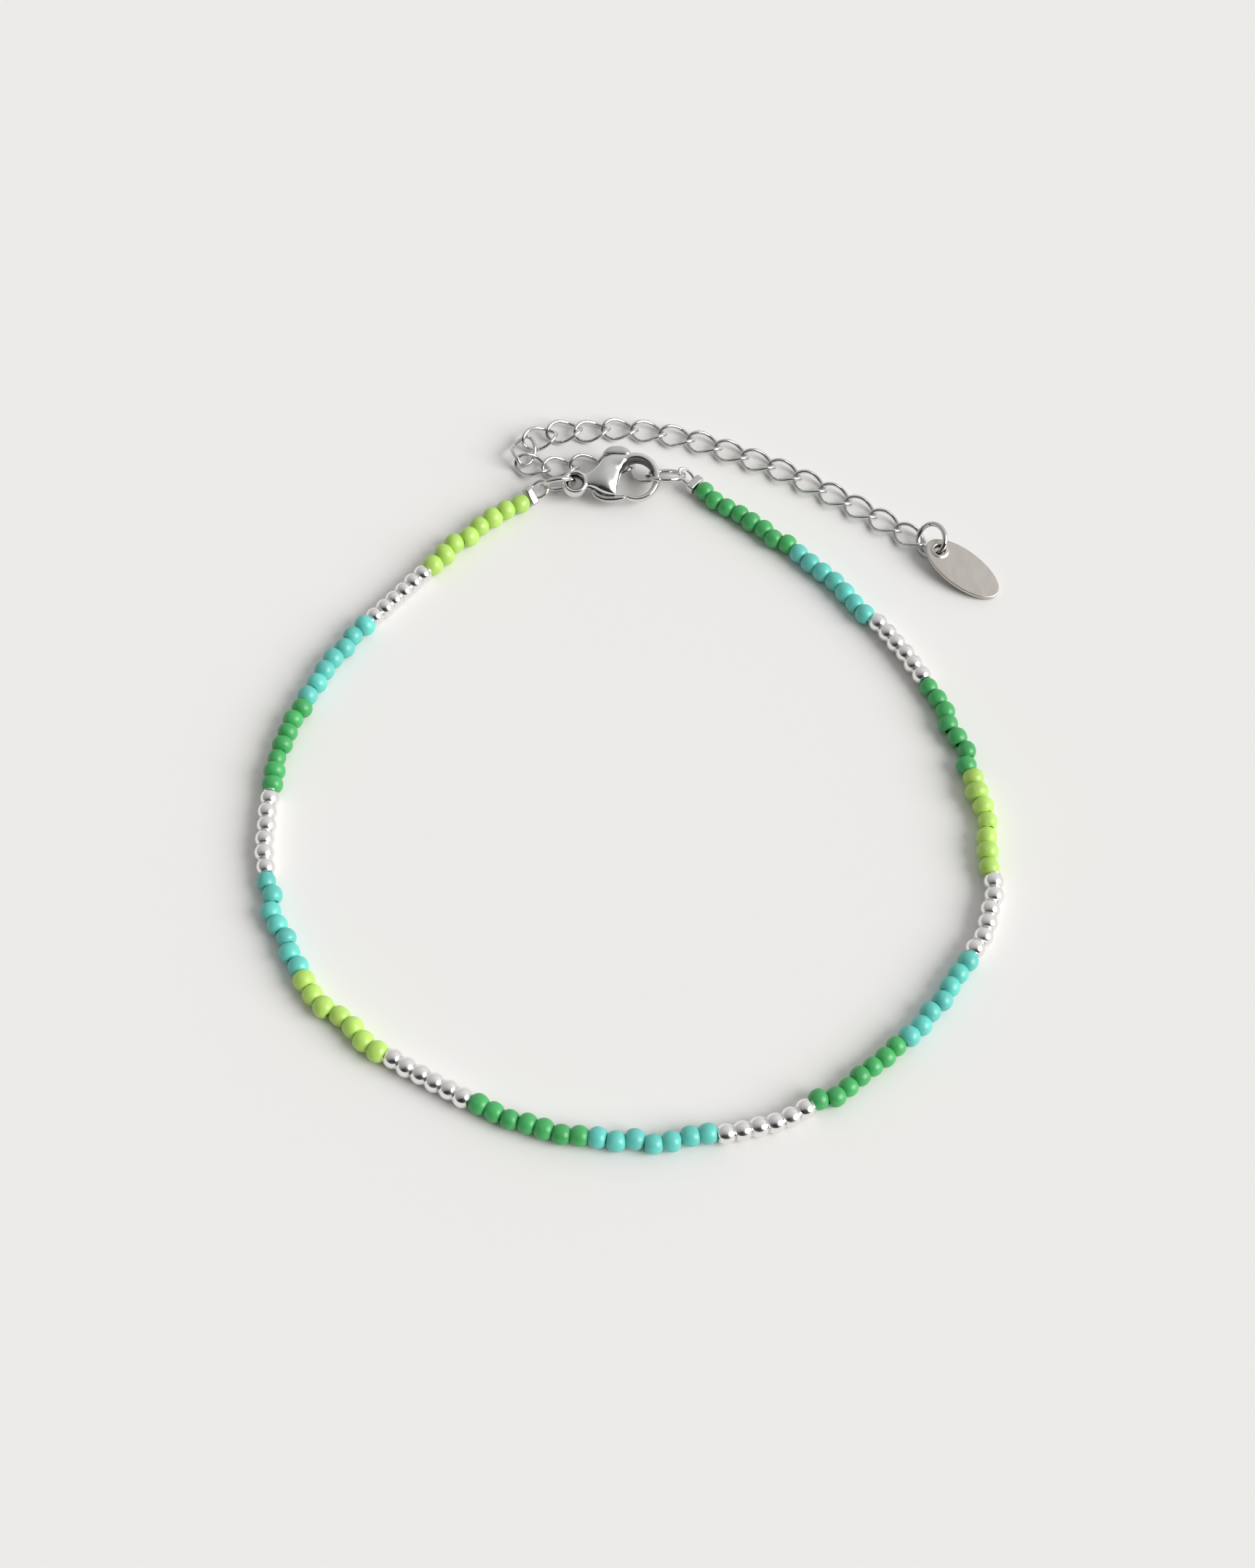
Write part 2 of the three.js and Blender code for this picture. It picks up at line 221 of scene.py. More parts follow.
chance = random.Random(BEAD_SEED)
pose = STRAND_START
for index, (kind, beads, length, turn) in enumerate(RUNS, 1):
    if kind in GLASS:
        bm = bmesh.new()
        shade_layer = bm.verts.layers.float.new("tint")
        pitch = length / beads
        for bead in range(beads):
            x, y, heading = arc_pose(pose, length, turn, (bead + 0.5) * pitch)
            radius = GLASS[kind][0] / 2 * chance.gauss(1, GLASS_SPREAD["radius"])
            half = pitch / 2 * min(GLASS_LONGEST, chance.gauss(GLASS_LENGTH, GLASS_SPREAD["length"]))
            aside = chance.gauss(0, GLASS_SPREAD["aside"])
            aside = max(-GLASS_ASIDE_MOST, min(GLASS_ASIDE_MOST, aside))
            profile = []
            for step in range(GLASS_STEPS + 1):
                angle = math.pi * step / GLASS_STEPS
                rise = (radius - GLASS_HOLE) * math.sin(angle)
                profile.append((-half * math.cos(angle), GLASS_HOLE + rise))
            heading += chance.gauss(0, GLASS_SPREAD["heading"])
            tilt = chance.gauss(0, GLASS_SPREAD["tilt"])
            place = (
                Matrix.Translation((x, y, radius))
                @ Matrix.Rotation(math.radians(heading), 4, "Z")
                @ Matrix.Rotation(math.radians(tilt), 4, "Y")
                @ Matrix.Translation((0, aside, 0))
            )
            own_tint = chance.random()
            for vert in lathe(bm, profile, GLASS_SIDES, place):
                vert[shade_layer] = own_tint
                lump = GLASS_LUMPS["depth"] * noise.noise(vert.co * GLASS_LUMPS["scale"])
                vert.co += (vert.co - place.translation) * lump
        node = f"bead_run_{index:02d}_{kind}"
        add_piece(bm, f"beads_{index:02d}_{kind}", node, "anklet", glass[kind])
    pose = arc_pose(pose, length, turn, length)
strand_end = pose

# Silver-coloured metal beads: plated brass turned to near balls, each with a thin collar at both ends where
# the hole is drilled, threaded in runs of six between the glass.
SILVER_DIAMETER = 2.0  # mm
SILVER_OUTLINE = [  # share of the half length, share of the radius
    (-1.0, 0.3),
    (-1.0, 0.7),
    (-0.96, 0.74),
    (-0.92, 0.7),
    (-0.9, 0.7),
]
SILVER_BALL = 0.9  # where the ball starts, as a share of the half length
SILVER_BALL_FROM = 46  # degrees round the ball where its outline leaves the collar
SILVER_ASIDE_MOST = 0.2  # mm off the thread's line
SILVER_SPREAD = {"radius": 0.012, "aside": 0.08, "heading": 3}
SILVER_STEPS = 16
SILVER_SIDES = 32

wear, entry, leave = shader_group(
    "metal_wear",
    [("Smoothest", "NodeSocketFloat"), ("Roughest", "NodeSocketFloat")],
    [("Roughness", "NodeSocketFloat"), ("Normal", "NodeSocketVector")],
)
place = wear.nodes.new("ShaderNodeTexCoord")
stretch = wear.nodes.new("ShaderNodeMapping")
stretch.inputs["Scale"].default_value = (1, 0.35, 1)
smear = wear.nodes.new("ShaderNodeTexNoise")
smear.inputs["Scale"].default_value = 1600
smear.inputs["Detail"].default_value = 5
rough = wear.nodes.new("ShaderNodeMapRange")
rough.inputs["From Min"].default_value = 0.35
rough.inputs["From Max"].default_value = 0.65
dents = wear.nodes.new("ShaderNodeTexNoise")
dents.inputs["Scale"].default_value = 2200
dents.inputs["Detail"].default_value = 2
bump = wear.nodes.new("ShaderNodeBump")
bump.inputs["Strength"].default_value = 0.04
bump.inputs["Distance"].default_value = 0.00004
for a, b in [
    (place.outputs["Object"], stretch.inputs["Vector"]),
    (stretch.outputs["Vector"], smear.inputs["Vector"]),
    (place.outputs["Object"], dents.inputs["Vector"]),
    (smear.outputs["Fac"], rough.inputs["Value"]),
    (entry.outputs["Smoothest"], rough.inputs["To Min"]),
    (entry.outputs["Roughest"], rough.inputs["To Max"]),
    (dents.outputs["Fac"], bump.inputs["Height"]),
    (rough.outputs["Result"], leave.inputs["Roughness"]),
    (bump.outputs["Normal"], leave.inputs["Normal"]),
]:
    wear.links.new(a, b)


def metal(name, smoothest, roughest):
    """A metal whose polish varies between two roughnesses; its colour is left to set."""
    material, shader = principled(name)
    shader.inputs["Metallic"].default_value = 1
    node = add_group(material, shader, wear, {"Roughness": "Roughness", "Normal": "Normal"})
    node.inputs["Smoothest"].default_value = smoothest
    node.inputs["Roughest"].default_value = roughest
    return material, shader


silver, shader = metal("silver_plate", 0.17, 0.27)
shader.inputs["Base Color"].default_value = (0.9, 0.89, 0.875, 1)

outline = list(SILVER_OUTLINE)
for step in range(SILVER_STEPS + 1):
    angle = math.radians(SILVER_BALL_FROM + (180 - 2 * SILVER_BALL_FROM) * step / SILVER_STEPS)
    bow = math.cos(angle) / math.cos(math.radians(SILVER_BALL_FROM))
    outline.append((-SILVER_BALL * bow, math.sin(angle)))
outline += [(-x, radius) for x, radius in reversed(SILVER_OUTLINE)]

pose = STRAND_START
for index, (kind, beads, length, turn) in enumerate(RUNS, 1):
    if kind == "silver":
        bm = bmesh.new()
        pitch = length / beads
        for bead in range(beads):
            x, y, heading = arc_pose(pose, length, turn, (bead + 0.5) * pitch)
            radius = SILVER_DIAMETER / 2 * chance.gauss(1, SILVER_SPREAD["radius"])
            aside = chance.gauss(0, SILVER_SPREAD["aside"])
            aside = max(-SILVER_ASIDE_MOST, min(SILVER_ASIDE_MOST, aside))
            heading += chance.gauss(0, SILVER_SPREAD["heading"])
            profile = [(part * pitch / 2, share * radius) for part, share in outline]
            place = (
                Matrix.Translation((x, y, radius))
                @ Matrix.Rotation(math.radians(heading), 4, "Z")
                @ Matrix.Translation((0, aside, 0))
            )
            lathe(bm, profile, SILVER_SIDES, place)
        node = f"bead_run_{index:02d}_silver"
        add_piece(bm, f"beads_{index:02d}_silver", node, "anklet", silver)
    pose = arc_pose(pose, length, turn, length)

# Jump rings: round steel wire coiled, cut and closed by hand, so each shows a fine butt seam. One joins the
# left crimp to the clasp, one hangs on the hook and one carries the tag.
RING_WIRE = 0.55  # mm
RING_SEAM = 2.0  # degrees of the circle left open
RINGS = [  # name, x, y, z, outer diameter, tilt about x, tilt about y, heading, side of the seam
    ("jump_ring_eye", -8.67, 34.06, 2.02, 4.0, -69, -2, 9, 60),
    ("jump_ring_chain", 3.06, 35.24, 2.03, 4.6, -38, 3, 4.5, 250),
    ("jump_ring_tag", 31.69, 26.68, 1.64, 4.0, 32, -39, -12, 80),
]
WIRE_SIDES = 14
WIRE_STEPS = 72


def turned(tilt_x, tilt_y, heading):
    return (
        Matrix.Rotation(math.radians(heading), 4, "Z")
        @ Matrix.Rotation(math.radians(tilt_y), 4, "Y")
        @ Matrix.Rotation(math.radians(tilt_x), 4, "X")
    )


def section(angle, wide, tall, boxy):
    """A point on an oval of two half sizes, which nears a box as boxy drops below 1."""
    across = math.copysign(abs(math.cos(angle)) ** boxy, math.cos(angle)) * wide
    over = math.copysign(abs(math.sin(angle)) ** boxy, math.sin(angle)) * tall
    return across, over


def sweep(bm, path, wide, tall, sides, up, closed=False, boxy=1):
    """A tube along a path. wide and tall list the section's half sizes at each point, tall along up."""
    rings = []
    count = len(path)
    for index, point in enumerate(path):
        if closed:
            along = path[(index + 1) % count] - path[index - 1]
        else:
            along = path[min(index + 1, count - 1)] - path[max(index - 1, 0)]
        across = along.cross(up(point)).normalized()
        over = across.cross(along).normalized()
        ring = []
        for side in range(sides):
            aside, rise = section(2 * math.pi * side / sides, wide[index], tall[index], boxy)
            ring.append(bm.verts.new(point + (across * aside + over * rise)))
        rings.append(ring)
    skin(bm, rings, around=closed)
    if not closed:
        bm.faces.new(rings[0])
        bm.faces.new(rings[-1])


def add_wire(bm, path, thickness, place, closed=True):
    """Round wire along a path that lies about the flat of a place."""
    axis = place.to_3x3() @ Vector((0, 0, 1))
    thick = [thickness / 2] * len(path)
    sweep(bm, path, thick, thick, WIRE_SIDES, lambda point: axis, closed)


steel, shader = metal("polished_steel", 0.07, 0.18)
shader.inputs["Base Color"].default_value = (0.64, 0.635, 0.625, 1)

for name, x, y, z, outer, tilt_x, tilt_y, heading, seam in RINGS:
    place = Matrix.Translation((x, y, z)) @ turned(tilt_x, tilt_y, heading)
    radius = (outer - RING_WIRE) / 2
    path = []
    for step in range(WIRE_STEPS + 1):
        angle = math.radians(seam + RING_SEAM / 2 + (360 - RING_SEAM) * step / WIRE_STEPS)
        path.append(place @ Vector((radius * math.cos(angle), radius * math.sin(angle), 0)))
    bm = bmesh.new()
    add_wire(bm, path, RING_WIRE, place, closed=False)
    add_piece(bm, name + "_wire", name, "anklet", steel)

# Crimp ends: a short steel tube pressed flat over the end of the thread, with a loop of finer wire standing
# out of it for the jump ring.
CRIMP = {"gap": 0.2, "length": 0.85, "wide": 1.08, "tall": 0.6, "middle": 1.05, "loop_root": 0.75}
CRIMP_BOXY = 0.35  # power of the pressed tube's section: 1 is an ellipse
CRIMP_SIDES = 32
CRIMP_ROWS = [  # share of the length, share of the section
    (0.0, 0.72),
    (0.0, 0.9),
    (0.06, 0.97),
    (0.2, 1.0),
    (0.5, 0.98),
    (0.8, 1.0),
    (0.94, 0.97),
    (1.0, 0.9),
    (1.0, 0.6),
]
LOOP = {"wire": 0.34, "length": 2.65}
ENDS = [  # name, x, y, heading, lean of the tube, then the loop's rise, roll and width
    ("crimp_end_eye_side", STRAND_START[0], STRAND_START[1], STRAND_START[2] + 180, 36, 20, 0, 2.2),
    ("crimp_end_chain_side", strand_end[0], strand_end[1], strand_end[2], 0, 30, -8, 1.5),
]
for name, x, y, heading, lean, rise, roll, width in ENDS:
    place = Matrix.Translation((x, y, CRIMP["middle"])) @ turned(0, 0, heading)
    pressed = place @ turned(lean, 0, 0)
    bm = bmesh.new()
    rings = []
    for part, share in CRIMP_ROWS:
        ring = []
        for side in range(CRIMP_SIDES):
            angle = 2 * math.pi * side / CRIMP_SIDES
            across, over = section(angle, CRIMP["wide"], CRIMP["tall"], CRIMP_BOXY)
            point = Vector((CRIMP["gap"] + part * CRIMP["length"], across * share, over * share))
            ring.append(bm.verts.new(pressed @ point))
        rings.append(ring)
    skin(bm, rings, around=False)
    bm.faces.new(rings[0])
    bm.faces.new(rings[-1])
    out = CRIMP["gap"] + CRIMP["length"] * CRIMP["loop_root"]
    root = place @ Matrix.Translation((out, 0, 0)) @ turned(roll, -rise, 0)
    path = []
    for step in range(WIRE_STEPS):
        angle = 2 * math.pi * step / WIRE_STEPS
        reach = (LOOP["length"] - LOOP["wire"]) / 2 * math.cos(angle) + LOOP["length"] / 2 - LOOP["wire"]
        path.append(root @ Vector((reach, (width - LOOP["wire"]) / 2 * math.sin(angle), 0)))
    add_wire(bm, path, LOOP["wire"], root)
    add_piece(bm, name + "_tube", name, "anklet", steel)

# Extension chain: twisted oval links of thin steel wire, each closed round the next and given a half twist
# so the chain lies flat.
LINK = {"length": 4.3, "width": 3.0, "wire": 0.42, "twist": 45}  # mm, mm, mm, degrees
CHAIN_TURN = [  # x, y, z, heading, roll of the links that turn back behind the clasp
    (0.48, 36.65, 1.25, 143.8, -37),
    (-2.32, 37.58, 0.97, 176.5, -10),
    (-5.49, 37.74, 0.76, 178, 0),
    (-8.52, 37.41, 0.76, 179, 3.7),
    (-11.6, 37.59, 0.81, 161.3, -3),
    (-12.66, 39.63, 0.97, 84.6, 10.7),
    (-10.88, 41.45, 1.01, 19.6, 13),
    (-8.18, 42.53, 0.85, 11.8, 8.3),
]
CHAIN_RUN_START = Vector((-6.53, 42.4, 0.76))
CHAIN_RUN = [  # heading, step to the next link
    (10, 3),
    (-3, 3.22),
    (-10, 3.22),
    (-15, 3.22),
    (-21, 3.22),
    (-24, 3.22),
    (-25, 3.22),
    (-29, 3.22),
    (-33, 3.22),
    (-33, 3.22),
    (-35, 3.22),
    (-36, 3.22),
    (-37, 3.22),
]
chain = list(CHAIN_TURN)
knuckle = CHAIN_RUN_START.copy()
for heading, step in CHAIN_RUN:
    half = Vector((math.cos(math.radians(heading)), math.sin(math.radians(heading)), 0)) * step / 2
    chain.append((*(knuckle + half), heading, 0))
    knuckle += 2 * half
for index, (x, y, z, heading, roll) in enumerate(chain, 1):
    place = Matrix.Translation((x, y, z)) @ turned(roll, 0, heading)
    path = []
    for turn in range(WIRE_STEPS):
        angle = 2 * math.pi * turn / WIRE_STEPS
        across = (LINK["width"] - LINK["wire"]) / 2 * math.sin(angle)
        twist = -math.radians(LINK["twist"]) * math.cos(angle)
        reach = (LINK["length"] - LINK["wire"]) / 2 * math.cos(angle)
        path.append(place @ Vector((reach, across * math.cos(twist), across * math.sin(twist))))
    bm = bmesh.new()
    add_wire(bm, path, LINK["wire"], place)
    add_piece(bm, f"link_{index:02d}_wire", f"chain_link_{index:02d}", "anklet", steel)

# Clasp body: one polished steel casting with the eye, a swollen body slotted for the lever and the fixed
# hook. The parts run into each other with soft fillets, so they are fused and smoothed.
CLASP = Matrix.Translation((-0.15, 34.85, 2.1)) @ turned(18, 0, 4)
EYE = {"x": -6.7, "y": -0.3, "ring": 1.12, "wide": 0.38, "tall": 0.8}
EYE_SIDES = 20
BODY = [  # upper edge's x and y, lower edge's x and y, height of the swollen front; from the eye to the hook
    (-5.8, 0.65, -5.8, -0.8, 0.62),
    (-5.2, 0.72, -5.3, -0.82, 0.8),
    (-4.6, 1.05, -4.7, -1.1, 1.08),
    (-4.0, 1.65, -4.0, -1.6, 1.36),
    (-3.4, 2.3, -3.3, -1.9, 1.56),
    (-2.5, 2.75, -2.8, -2.0, 1.64),
    (-0.85, 2.65, -2.35, -2.0, 1.62),
]
BODY_BACK = 0.7  # the back swells less
BODY_FALL = 1.7  # power of the front's fall towards the hook
BODY_EDGE_IN = 0.12  # how far the edge beside the hook bows back
SHOULDER_FROM = 0.6  # share of the way up where the body starts to run on into the hook
SHOULDER_EASE = 1.5
SHOULDER_KEEPS = 0.8  # share of the fall that the shoulder does without at the top
BODY_RIM = 0.2  # thickness of each half at its edges
SLOT = 0.36  # half the slot's width
BODY_ROWS = 28
BODY_COLUMNS = 40
HOOK = {"x": 0.0, "y": -0.08, "reach": 2.24, "rise": 2.4, "from": 150, "to": -123}
HOOK_WIDE = [0.6, 0.54, 0.5, 0.44, 0.36, 0.3, 0.28]  # half its width, from the body to the tip
HOOK_TALL = [0.95, 1.0, 0.92, 0.78, 0.62, 0.5, 0.45]  # half its thickness
HOOK_BOXY = 0.85
HOOK_SIDES = 32
HOOK_STEPS = 64
HOOK_SHADE_FROM = 0.3  # height in the clasp above which the hook's inner wall is painted dark as shade
CAST_VOXEL = 0.055  # mm
CAST_SMOOTHING = 26  # passes


def between(rows, part):
    """The value or point at a share of the way along evenly spaced rows, on a smooth curve."""
    spot = part * (len(rows) - 1)
    index = min(int(spot), len(rows) - 2)
    t = spot - index
    around = [rows[max(0, min(len(rows) - 1, index + k))] for k in (-1, 0, 1, 2)]
    if not isinstance(around[0], Vector):
        around = [Vector((value, 0, 0)) for value in around]
    a, b, c, d = around
    point = b + ((c - a) + ((2 * a - 5 * b + 4 * c - d) + (3 * b - a - 3 * c + d) * t) * t) * t / 2
    return point if isinstance(rows[0], Vector) else point.x


def plane_curve(points, steps):
    rows = [Vector((x, y, 0)) for x, y in points]
    return [between(rows, step / steps) for step in range(steps + 1)]


def cast(piece):
    """Fuses a piece's overlapping solids into one smooth skin."""
    fuse = piece.modifiers.new("fuse", "REMESH")
    fuse.mode = "VOXEL"
    fuse.voxel_size = CAST_VOXEL * MM
    polish = piece.modifiers.new("polish", "SMOOTH")
    polish.factor = 0.5
    polish.iterations = CAST_SMOOTHING
    graph = bpy.context.evaluated_depsgraph_get()
    fused = bpy.data.meshes.new_from_object(piece.evaluated_get(graph))
    piece.modifiers.clear()
    piece.data = fused
    fused.shade_smooth()


def inward(vert, centre):
    """How squarely a vertex faces a centre in the clasp's plane, from 0 to 1, and how far off that is."""
    towards = Vector((centre["x"], centre["y"], 0)) - CLASP.inverted() @ (vert.co / MM)
    facing = CLASP.to_3x3().inverted() @ vert.normal
    towards.z = 0
    return max(0, facing.dot(towards.normalized())), towards.length


def upright(point):
    return CLASP.to_3x3() @ Vector((0, 0, 1))


# Painted shade: a vertex attribute marks hollows, namely the clasp's eye and hook walls and the tag's hole.
# There a dark colour is mixed into the metal's own colour to stand for the shade inside them.
shade_paint, entry, leave = shader_group(
    "painted_recess_shade",
    [("Polished", "NodeSocketColor"), ("Painted Shade", "NodeSocketColor")],
    [("Colour", "NodeSocketColor")],
)
mark = shade_paint.nodes.new("ShaderNodeAttribute")
mark.attribute_name = "painted_shade"
soften = shade_paint.nodes.new("ShaderNodeMapRange")
soften.inputs["From Min"].default_value = 0.35
soften.inputs["From Max"].default_value = 0.8
blend = shade_paint.nodes.new("ShaderNodeMix")
blend.data_type = "RGBA"
for a, b in [
    (mark.outputs["Fac"], soften.inputs["Value"]),
    (soften.outputs["Result"], blend.inputs["Factor"]),
    (entry.outputs["Polished"], blend.inputs["A"]),
    (entry.outputs["Painted Shade"], blend.inputs["B"]),
    (blend.outputs["Result"], leave.inputs["Colour"]),
]:
    shade_paint.links.new(a, b)

cast_steel, shader = metal("cast_steel", 0.13, 0.21)
# The dark second colour is painted shade for the inside of the eye and hook. The first colour is the steel's
# own.
node = add_group(cast_steel, shader, shade_paint, {"Colour": "Base Color"})
node.inputs["Polished"].default_value = (0.76, 0.755, 0.74, 1)
node.inputs["Painted Shade"].default_value = (0.16, 0.155, 0.15, 1)

bm = bmesh.new()
path = []
for step in range(WIRE_STEPS):
    angle = 2 * math.pi * step / WIRE_STEPS
    way = Vector((math.cos(angle), math.sin(angle), 0))
    path.append(CLASP @ (Vector((EYE["x"], EYE["y"], 0)) + way * EYE["ring"]))
sweep(bm, path, [EYE["wide"]] * len(path), [EYE["tall"]] * len(path), EYE_SIDES, upright, closed=True)

upper = plane_curve([row[0:2] for row in BODY], BODY_ROWS)
lower = plane_curve([row[2:4] for row in BODY], BODY_ROWS)
swells = [row[4] for row in BODY]
for front in (1, -1):
    faces = []
    for swollen in (True, False):
        grid = []
        for row in range(BODY_ROWS + 1):
            part = row / BODY_ROWS
            line = []
            for column in range(BODY_COLUMNS + 1):
                share = column / BODY_COLUMNS
                point = lower[row].lerp(upper[row], share)
                point.x -= BODY_EDGE_IN * part**3 * 4 * share * (1 - share)
                shoulder = max(0, (share - SHOULDER_FROM) / (1 - SHOULDER_FROM)) ** SHOULDER_EASE
                edge = part**BODY_FALL * (1 - SHOULDER_KEEPS * shoulder)
                fall = math.sqrt(1 - (2 * share - 1) ** 2) * math.sqrt(1 - edge)
                swell = between(swells, part) * (1 if front > 0 else BODY_BACK)
                height = BODY_RIM + (swell - SLOT - BODY_RIM) * fall if swollen else 0
                point.z = front * (SLOT + height)
                line.append(bm.verts.new(CLASP @ point))
            grid.append(line)
        for row in range(BODY_ROWS):
            for column in range(BODY_COLUMNS):
                a, b = grid[row], grid[row + 1]
                bm.faces.new((a[column], a[column + 1], b[column + 1], b[column]))
        faces.append(grid)
    borders = []
    for grid in faces:
        outward = grid[0] + [line[-1] for line in grid[1:]]
        homeward = grid[-1][-2::-1] + [line[0] for line in grid[-2:0:-1]]
        borders.append(outward + homeward)
    skin(bm, borders, around=False)

path, wide, tall = [], [], []
for step in range(HOOK_STEPS + 1):
    part = step / HOOK_STEPS
    angle = math.radians(HOOK["from"] + (HOOK["to"] - HOOK["from"]) * part)
    way = Vector((HOOK["reach"] * math.cos(angle), HOOK["rise"] * math.sin(angle), 0))
    path.append(CLASP @ (Vector((HOOK["x"], HOOK["y"], 0)) + way))
    wide.append(between(HOOK_WIDE, part))
    tall.append(between(HOOK_TALL, part))
sweep(bm, path, wide, tall, HOOK_SIDES, upright, boxy=HOOK_BOXY)
casting = add_piece(bm, "clasp_casting", "clasp_body", "anklet", cast_steel)
cast(casting)
# Painted shade: inner walls of the eye, and of the hook above a height, are marked to take the dark colour.
painted_shade = casting.data.attributes.new("painted_shade", "FLOAT", "POINT")
for vert, mark in zip(casting.data.vertices, painted_shade.data):
    in_eye, from_eye = inward(vert, EYE)
    in_hook, from_hook = inward(vert, HOOK)
    spot = CLASP.inverted() @ (vert.co / MM)
    if from_eye < EYE["ring"]:
        mark.value = in_eye
    elif from_hook < HOOK["rise"] and spot.y > HOOK_SHADE_FROM:
        mark.value = in_hook

# Clasp lever: a stamped steel lever on a pin through the body. Its gate closes the hook from below, its arm
# runs up the slot and its thumb knob stands out at the top; a hidden spring shuts it.
GATE = [  # x and y in the clasp's plane, half the width, half the thickness
    (-4.75, -1.25, 0.34, 0.27),
    (-4.35, -1.75, 0.38, 0.27),
    (-3.6, -2.12, 0.42, 0.3),
    (-2.7, -2.3, 0.42, 0.46),
    (-2.1, -2.33, 0.38, 0.5),
    (-1.4, -2.25, 0.3, 0.46),
]
ARM = [  # the same columns
    (-4.1, -1.15, 0.6, 0.26),
    (-3.5, -0.2, 0.45, 0.26),
    (-2.8, 0.9, 0.45, 0.26),
    (-2.15, 2.5, 0.5, 0.26),
]
KNOB = [  # the same columns
    (-1.95, 2.5, 1.6, 0.98),
    (-1.92, 2.8, 1.6, 1.05),
    (-1.9, 3.1, 1.45, 1.02),
    (-1.88, 3.4, 1.15, 0.9),
    (-1.86, 3.62, 0.75, 0.7),
]
KNOB_BOXY = 0.6
LEVER_STEPS = 20
LEVER_SIDES = 32

bm = bmesh.new()
parts = [step / LEVER_STEPS for step in range(LEVER_STEPS + 1)]
for rows, boxy in [(GATE, 1), (ARM, 1), (KNOB, KNOB_BOXY)]:
    path = [CLASP @ point for point in plane_curve([row[0:2] for row in rows], LEVER_STEPS)]
    wide = [between([row[2] for row in rows], part) for part in parts]
    tall = [between([row[3] for row in rows], part) for part in parts]
    sweep(bm, path, wide, tall, LEVER_SIDES, upright, boxy=boxy)
cast(add_piece(bm, "clasp_lever_metal", "clasp_lever", "lever", steel))

# Oval tag: a plain stamping in satin steel with a rolled rim round its hole, whose inner wall is painted
# dark as shade. It hangs on the last ring and lies with its hole end lifted.
TAG = {"length": 9.4, "width": 4.6, "thick": 0.45, "hole_from_end": 1.55, "hole": 0.6}
TAG_PLACE = Matrix.Translation((34.84, 23.26, 0.98)) @ turned(0, 9, -40)
TAG_STEPS = 128
TAG_RIM = [  # mm out from the hole's wall, height as a share of half the thickness
    (0.5, -1.0),
    (0.36, -1.15),
    (0.15, -1.6),
    (0.0, -1.2),
    (0.0, 0.9),
    (0.05, 1.35),
    (0.15, 1.6),
    (0.26, 1.5),
    (0.36, 1.15),
    (0.42, 1.0),
    (0.5, 1.0),
]
TAG_EDGE = [  # mm in from the edge, height as a share of half the thickness
    (0.16, 1.0),
    (0.1, 0.98),
    (0.03, 0.8),
    (0.0, 0.45),
    (0.0, -0.45),
    (0.03, -0.8),
    (0.1, -0.98),
    (0.16, -1.0),
]

satin, shader = metal("satin_steel", 0.32, 0.44)
node = add_group(satin, shader, shade_paint, {"Colour": "Base Color"})
node.inputs["Polished"].default_value = (0.61, 0.575, 0.525, 1)
# The dark second colour is painted shade for the hole's wall. The first colour is the steel's own.
node.inputs["Painted Shade"].default_value = (0.1, 0.097, 0.09, 1)

bm = bmesh.new()
painted_shade = bm.verts.layers.float.new("painted_shade")
rings = []
for step in range(TAG_STEPS):
    angle = 2 * math.pi * step / TAG_STEPS
    way = Vector((math.cos(angle), math.sin(angle), 0))
    hole = Vector((TAG["hole_from_end"] - TAG["length"] / 2, 0, 0))
    ring = []
    for out, height in TAG_RIM:
        ring.append(hole + way * (TAG["hole"] + out) + Vector((0, 0, height * TAG["thick"] / 2)))
    for inwards, height in TAG_EDGE:
        edge = Vector((way.x * (TAG["length"] / 2 - inwards), way.y * (TAG["width"] / 2 - inwards), 0))
        ring.append(edge + Vector((0, 0, height * TAG["thick"] / 2)))
    ring = [bm.verts.new(TAG_PLACE @ point) for point in ring]
    # Painted shade: the hole's wall is marked to take the dark colour.
    for vert, (out, _) in zip(ring, TAG_RIM):
        vert[painted_shade] = 1 if out == 0 else 0
    rings.append(ring)
skin(bm, rings)
add_piece(bm, "oval_tag_plate", "oval_tag", "anklet", satin)

# Studio: a pale matt sweep under the anklet, a broad soft light from the right, pale walls and a dark room
# behind the camera for the metal to reflect.
SWEEP = [(0.5, 0.0), (2.0, 0.0), (2.8, 0.06), (3.4, 0.2), (3.9, 0.42)]  # distance out and height, m
SWEEP_SIDES = 72
SWEEP_DROP = 0.00002  # m, so that the lowest pieces clear the paper
bm = bmesh.new()
rings = []
for out, height in SWEEP:
    turns = [2 * math.pi * side / SWEEP_SIDES for side in range(SWEEP_SIDES)]
    rings.append([bm.verts.new((out * math.cos(turn), out * math.sin(turn), height)) for turn in turns])
bm.faces.new(rings[0])
skin(bm, rings, around=False)
bmesh.ops.recalc_face_normals(bm, faces=bm.faces)
mesh = bpy.data.meshes.new("floor")
bm.to_mesh(mesh)
bm.free()
mesh.shade_smooth()
floor = bpy.data.objects.new("floor", mesh)
floor.location.z = -SWEEP_DROP
bpy.context.scene.collection.objects.link(floor)
paper, shader = principled("paper")
shader.inputs["Base Color"].default_value = (0.848, 0.833, 0.816, 1)
shader.inputs["Roughness"].default_value = 0.9
shader.inputs["Specular IOR Level"].default_value = 0.1
mesh.materials.append(paper)

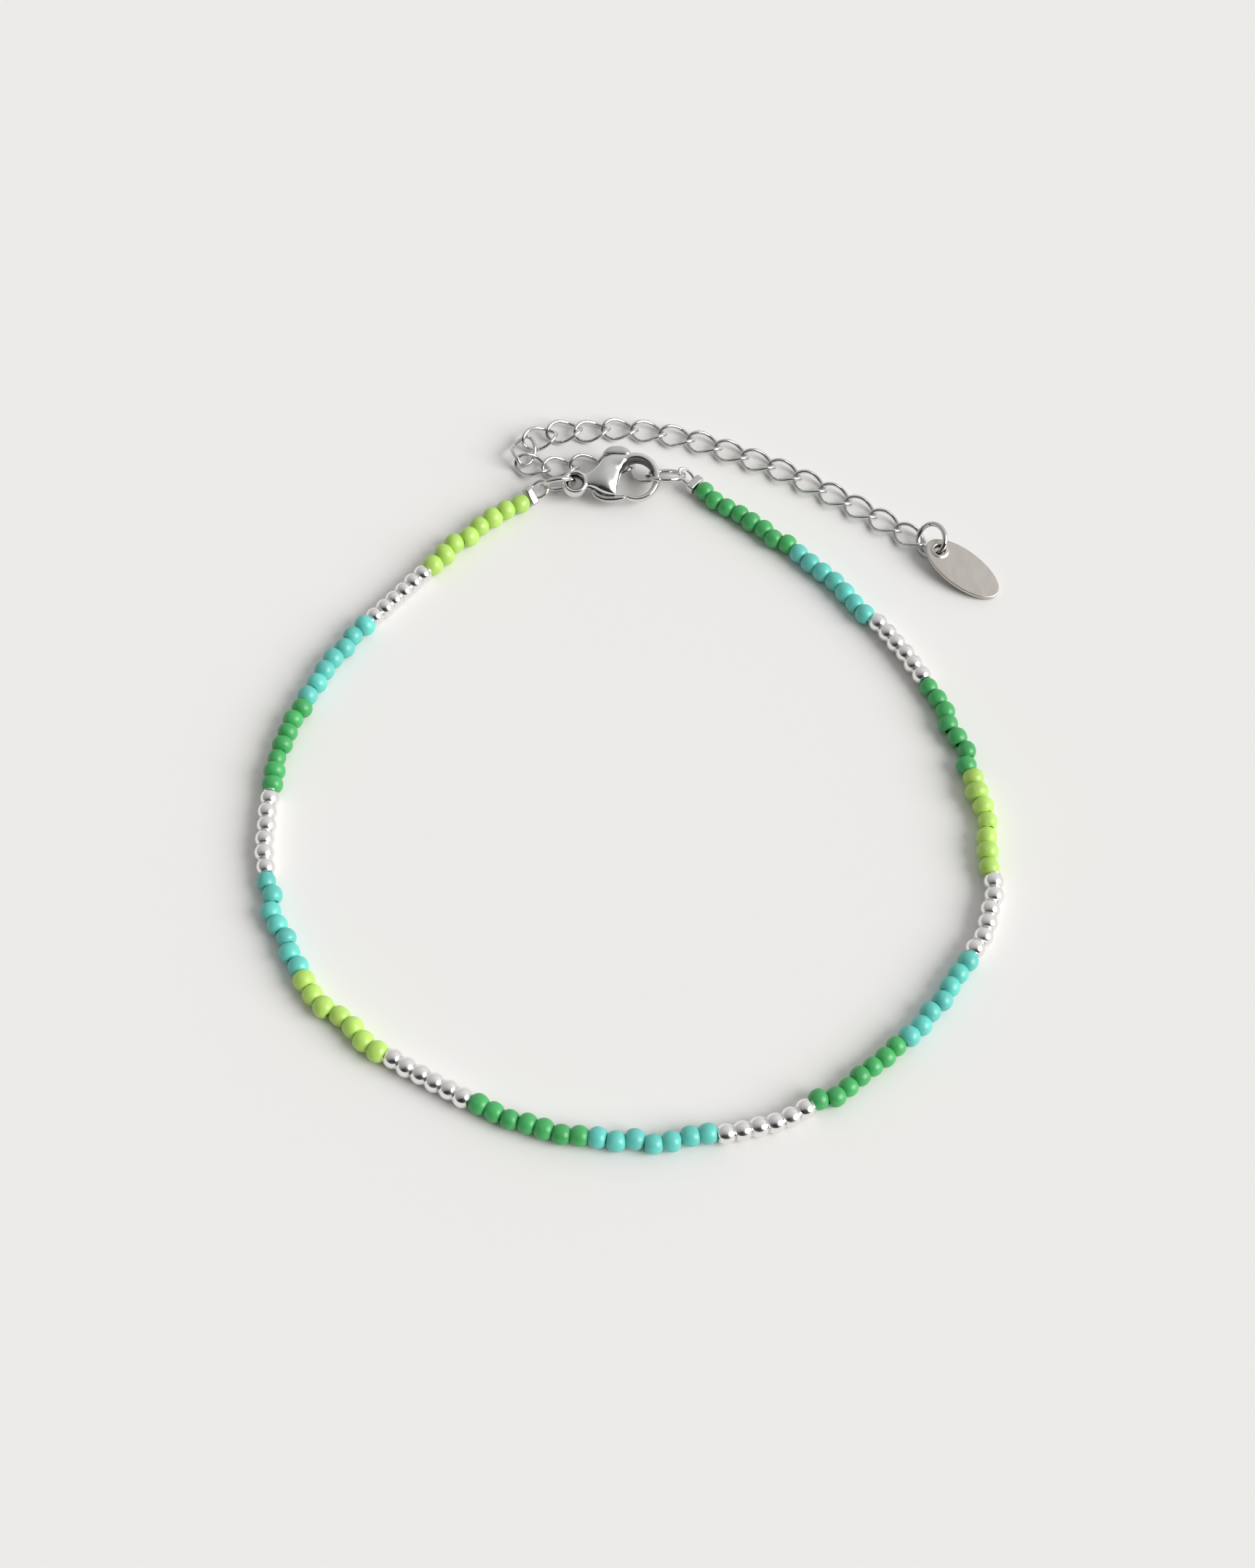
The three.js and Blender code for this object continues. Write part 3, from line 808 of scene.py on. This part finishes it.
world = bpy.data.worlds.new("studio")
world.use_nodes = True
bpy.context.scene.world = world
nodes, links = world.node_tree.nodes, world.node_tree.links
sky = nodes["Background"]
way = nodes.new("ShaderNodeTexCoord")
split = nodes.new("ShaderNodeSeparateXYZ")
back = nodes.new("ShaderNodeMapRange")
back.inputs["From Min"].default_value = -1
across = nodes.new("ShaderNodeMapRange")
across.inputs["From Min"].default_value = -1
across.inputs["To Min"].default_value = 0.42
across.inputs["To Max"].default_value = 1.0
room = nodes.new("ShaderNodeValToRGB")
room.color_ramp.interpolation = "EASE"
ROOM = [  # share of the way from front to back, brightness
    (0.0, 0.03),
    (0.17, 0.04),
    (0.31, 0.46),
    (0.46, 0.72),
    (0.56, 0.82),
    (0.76, 0.95),
]
for _ in ROOM[2:]:
    room.color_ramp.elements.new(0.5)
for stop, (spot, level) in zip(room.color_ramp.elements, ROOM):
    stop.position = spot
    stop.color = (level, level, level, 1)
for a, b in [
    (way.outputs["Generated"], split.inputs["Vector"]),
    (split.outputs["Y"], back.inputs["Value"]),
    (back.outputs["Result"], room.inputs["Fac"]),
    (room.outputs["Color"], sky.inputs["Color"]),
    (split.outputs["X"], across.inputs["Value"]),
    (across.outputs["Result"], sky.inputs["Strength"]),
]:
    links.new(a, b)

SOFTBOX = {"from": (6.1, -2.4, 4.1), "degrees_across": 42, "power": 3.18}
lamp = bpy.data.lights.new("softbox", "SUN")
lamp.angle = math.radians(SOFTBOX["degrees_across"])
lamp.energy = SOFTBOX["power"]
softbox = bpy.data.objects.new("softbox", lamp)
softbox.location = SOFTBOX["from"]
softbox.rotation_euler = (-Vector(SOFTBOX["from"])).to_track_quat("-Z", "Y").to_euler()
bpy.context.scene.collection.objects.link(softbox)

CAMERA_FROM = (-0.0011, -0.1469, 0.226)  # m
CAMERA_TILT = 32.4  # degrees off straight down
CAMERA_LENS = 60.1  # mm, on a sensor 36 mm high
optics = bpy.data.cameras.new("camera")
optics.sensor_fit = "VERTICAL"
optics.sensor_height = 36
optics.lens = CAMERA_LENS
optics.clip_start = 0.01
camera = bpy.data.objects.new("camera", optics)
camera.location = CAMERA_FROM
camera.rotation_euler = (math.radians(CAMERA_TILT), 0, 0)
bpy.context.scene.collection.objects.link(camera)
bpy.context.scene.camera = camera
bpy.context.scene.view_settings.view_transform = "Standard"
